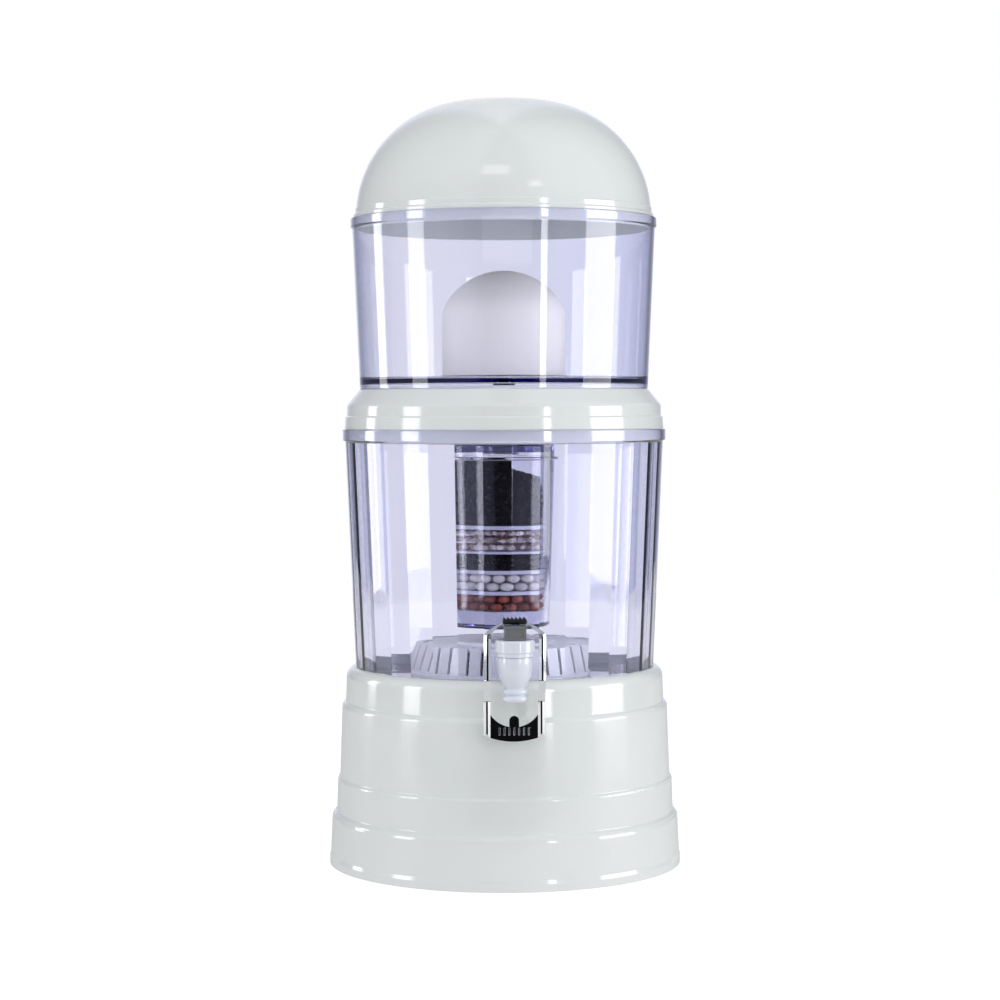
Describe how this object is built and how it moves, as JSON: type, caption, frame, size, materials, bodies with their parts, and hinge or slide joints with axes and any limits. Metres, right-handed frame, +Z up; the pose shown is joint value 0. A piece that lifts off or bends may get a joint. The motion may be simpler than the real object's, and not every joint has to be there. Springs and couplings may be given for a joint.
{
  "type": "gravity water filter",
  "caption": "Two-tank gravity water filter: domed lid, ceramic dome, hanging cartridge, louvred mineral case, stepped stand and a push-lever tap.",
  "frame": {"origin": "on the tanks' common vertical axis, in the plane of the stand's bottom rim", "axes": "+Z up along the tanks' axis, +X to the right seen from the front, the tap points along -Y"},
  "size_m": [0.2862, 0.3258, 0.6175],
  "materials": {
    "white_plastic": "glossy moulded",
    "clear_tank": "clear polished",
    "clear_cup": "clear polished",
    "tap_plastic": "glossy moulded",
    "seal_rubber": "matte",
    "grey_plastic": "satin",
    "black_plastic": "satin",
    "spring_steel": "bright wire",
    "chrome_trim": "polished",
    "case_plastic": "satin moulded",
    "mineral_stone": "rough",
    "filter_felt": "felted",
    "red_ceramic": "matte",
    "white_ceramic": "matte",
    "carbon": "granular",
    "stone_chips": "rough",
    "disc_plastic": "satin",
    "dome_ceramic": "matte"
  },
  "bodies": {
    "stand": {"stand": "white_plastic"},
    "lower_tank": {"lower_tank": "clear_tank", "tap_body": "tap_plastic", "tap_bonnet": "tap_plastic", "tap_outer_gasket": "seal_rubber", "tap_inner_gasket": "seal_rubber", "tap_nut": "tap_plastic"},
    "tap_stem": {"tap_stem": "grey_plastic", "tap_valve_plug": "seal_rubber", "tap_spring": "spring_steel"},
    "tap_lever": {"lever_block": "grey_plastic", "lever_pin": "chrome_trim", "lever_frame": "chrome_trim", "thumb_grip": "black_plastic"},
    "mineral_case": {"case_tray": "case_plastic", "case_lid": "case_plastic", "mineral_stones": "mineral_stone"},
    "case_cover": {"case_cover": "case_plastic"},
    "separator": {"separator": "white_plastic"},
    "cartridge": {"cartridge_cup": "clear_cup", "cartridge_cap": "clear_cup", "cartridge_gasket": "seal_rubber", "outlet_pad": "filter_felt", "red_ball_bed": "red_ceramic", "white_ball_bed": "white_ceramic", "carbon_lower": "carbon", "stone_bed": "stone_chips", "carbon_upper": "carbon", "cartridge_discs": "disc_plastic"},
    "upper_tank": {"upper_tank": "clear_tank", "ceramic_dome": "dome_ceramic", "ceramic_base": "grey_plastic", "stem_washer": "seal_rubber"},
    "wing_nut": {"wing_nut": "white_plastic"},
    "lid": {"lid": "white_plastic"}
  },
  "joints": [
    {"name": "lower_tank_lift", "type": "slide", "parent": "stand", "child": "lower_tank", "axis": [0, 0, 1], "range_m": [0, 0.04]},
    {"name": "stem_lift", "type": "slide", "parent": "lower_tank", "child": "tap_stem", "axis": [0, 0, 1], "range_m": [0, 0.0014], "deforming": ["tap_spring"]},
    {"name": "lever_push", "type": "hinge", "parent": "tap_stem", "child": "tap_lever", "pos_m": [0, -0.16767, 0.2033], "axis": [1, 0, 0], "range_deg": [0, 11], "stiffness_Nm_per_rad": 0.4, "springref_deg": -8.59},
    {"name": "mineral_case_lift", "type": "slide", "parent": "lower_tank", "child": "mineral_case", "axis": [0, 0, 1], "range_m": [0, 0.007]},
    {"name": "case_cover_turn", "type": "hinge", "parent": "mineral_case", "child": "case_cover", "pos_m": [0, 0, 0.18], "axis": [0, 0, 1], "range_deg": [0, 90]},
    {"name": "separator_lift", "type": "slide", "parent": "lower_tank", "child": "separator", "axis": [0, 0, 1], "range_m": [0, 0.17]},
    {"name": "cartridge_turn", "type": "hinge", "parent": "separator", "child": "cartridge", "pos_m": [0, 0, 0.33], "axis": [0, 0, 1], "range_deg": [0, 90]},
    {"name": "upper_tank_lift", "type": "slide", "parent": "separator", "child": "upper_tank", "axis": [0, 0, 1], "range_m": [0, 0.04]},
    {"name": "wing_nut_turn", "type": "hinge", "parent": "upper_tank", "child": "wing_nut", "pos_m": [0, 0, 0.384], "axis": [0, 0, 1], "range_deg": [0, 720]},
    {"name": "lid_lift", "type": "slide", "parent": "upper_tank", "child": "lid", "axis": [0, 0, 1], "range_m": [0, 0.06]}
  ],
  "couplings": [
    {"joint": "stem_lift", "follows": "lever_push", "m_per_rad": 0.0067}
  ]
}
